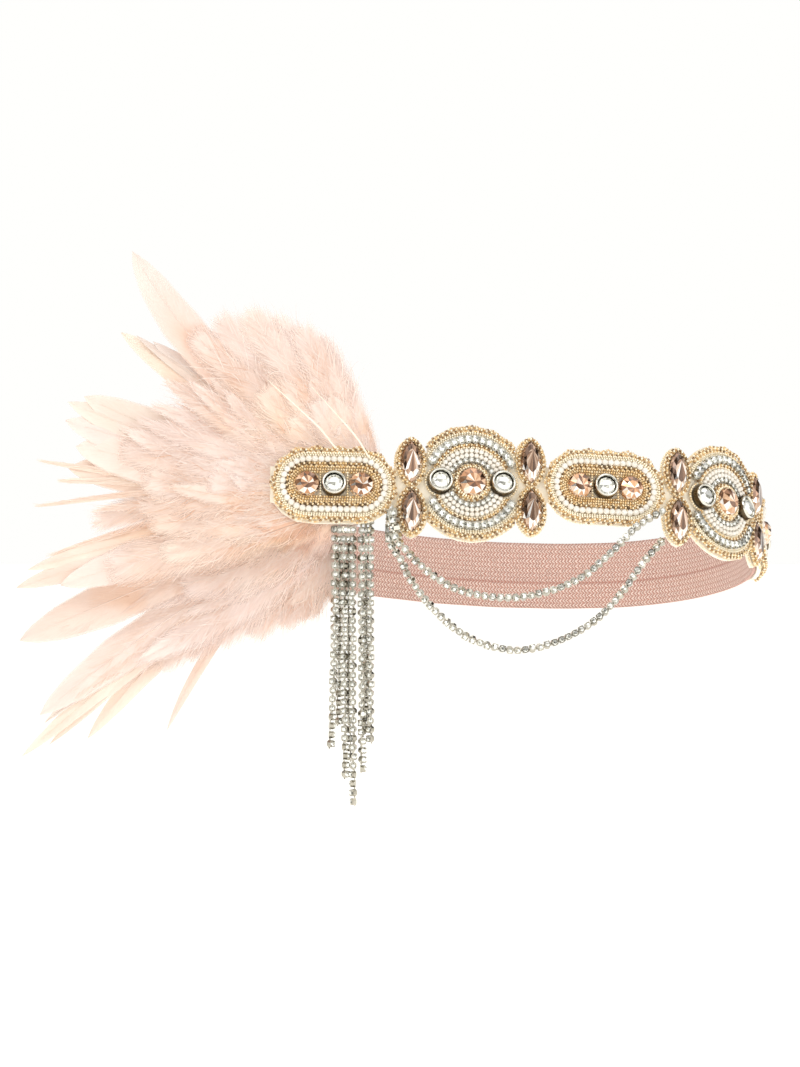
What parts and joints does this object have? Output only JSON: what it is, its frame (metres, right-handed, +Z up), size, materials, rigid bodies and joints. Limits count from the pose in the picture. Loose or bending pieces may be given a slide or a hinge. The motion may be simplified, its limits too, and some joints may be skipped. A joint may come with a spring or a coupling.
{
  "type": "flapper feather headband",
  "caption": "Beaded brow band on folded elastic, with a feather plume and a cup chain tassel at one side and two chain swags across the front.",
  "frame": {"origin": "middle of the loop, where the head sits, at the height of the elastic's middle there", "axes": "+Z up as worn, with the beaded front towards -Y and the plume towards -X; the loop slopes down to the back about +X"},
  "size_m": [0.2548, 0.1413, 0.1861],
  "materials": {
    "elastic": "dusty pink ribbed knit",
    "felt": "cream felt",
    "beads": "light gold seed beads, with rows of ivory pearls and clear crystals",
    "bezel": "dark polished bezel",
    "champagne": "foil backed champagne stone",
    "crystal": "clear cut stone",
    "chain": "silver cup chain with clear stones",
    "feather": "soft blush feathers"
  },
  "bodies": {
    "root": {"bead_rows_oval_1": "beads", "bead_rows_oval_2": "beads", "bead_rows_oval_3": "beads", "bead_rows_round_1_lower": "beads", "bead_rows_round_1_upper": "beads", "bead_rows_round_2_lower": "beads", "bead_rows_round_2_upper": "beads", "centre_rim_1": "beads", "centre_rim_2": "beads", "champagne_stone_oval_1_left": "champagne", "champagne_stone_oval_1_right": "champagne", "champagne_stone_oval_2_left": "champagne", "champagne_stone_oval_2_right": "champagne", "champagne_stone_oval_3_left": "champagne", "champagne_stone_oval_3_right": "champagne", "champagne_stone_round_1": "champagne", "champagne_stone_round_2": "champagne", "clear_stone_oval_1": "crystal", "clear_stone_oval_1_bezel": "bezel", "clear_stone_oval_2": "crystal", "clear_stone_oval_2_bezel": "bezel", "clear_stone_oval_3": "crystal", "clear_stone_oval_3_bezel": "bezel", "clear_stone_round_1_left": "crystal", "clear_stone_round_1_left_bezel": "bezel", "clear_stone_round_1_right": "crystal", "clear_stone_round_1_right_bezel": "bezel", "clear_stone_round_2_left": "crystal", "clear_stone_round_2_left_bezel": "bezel", "clear_stone_round_2_right": "crystal", "clear_stone_round_2_right_bezel": "bezel", "elastic_band": "elastic", "feather_plume": "feather", "felt_backing": "felt", "marquise_1_lower": "champagne", "marquise_1_lower_rim": "beads", "marquise_1_upper": "champagne", "marquise_1_upper_rim": "beads", "marquise_2_lower": "champagne", "marquise_2_lower_rim": "beads", "marquise_2_upper": "champagne", "marquise_2_upper_rim": "beads", "marquise_3_lower": "champagne", "marquise_3_lower_rim": "beads", "marquise_3_upper": "champagne", "marquise_3_upper_rim": "beads", "marquise_4_lower": "champagne", "marquise_4_lower_rim": "beads", "marquise_4_upper": "champagne", "marquise_4_upper_rim": "beads", "swag_lower": "chain", "swag_upper": "chain", "tassel": "chain"}
  },
  "joints": []
}
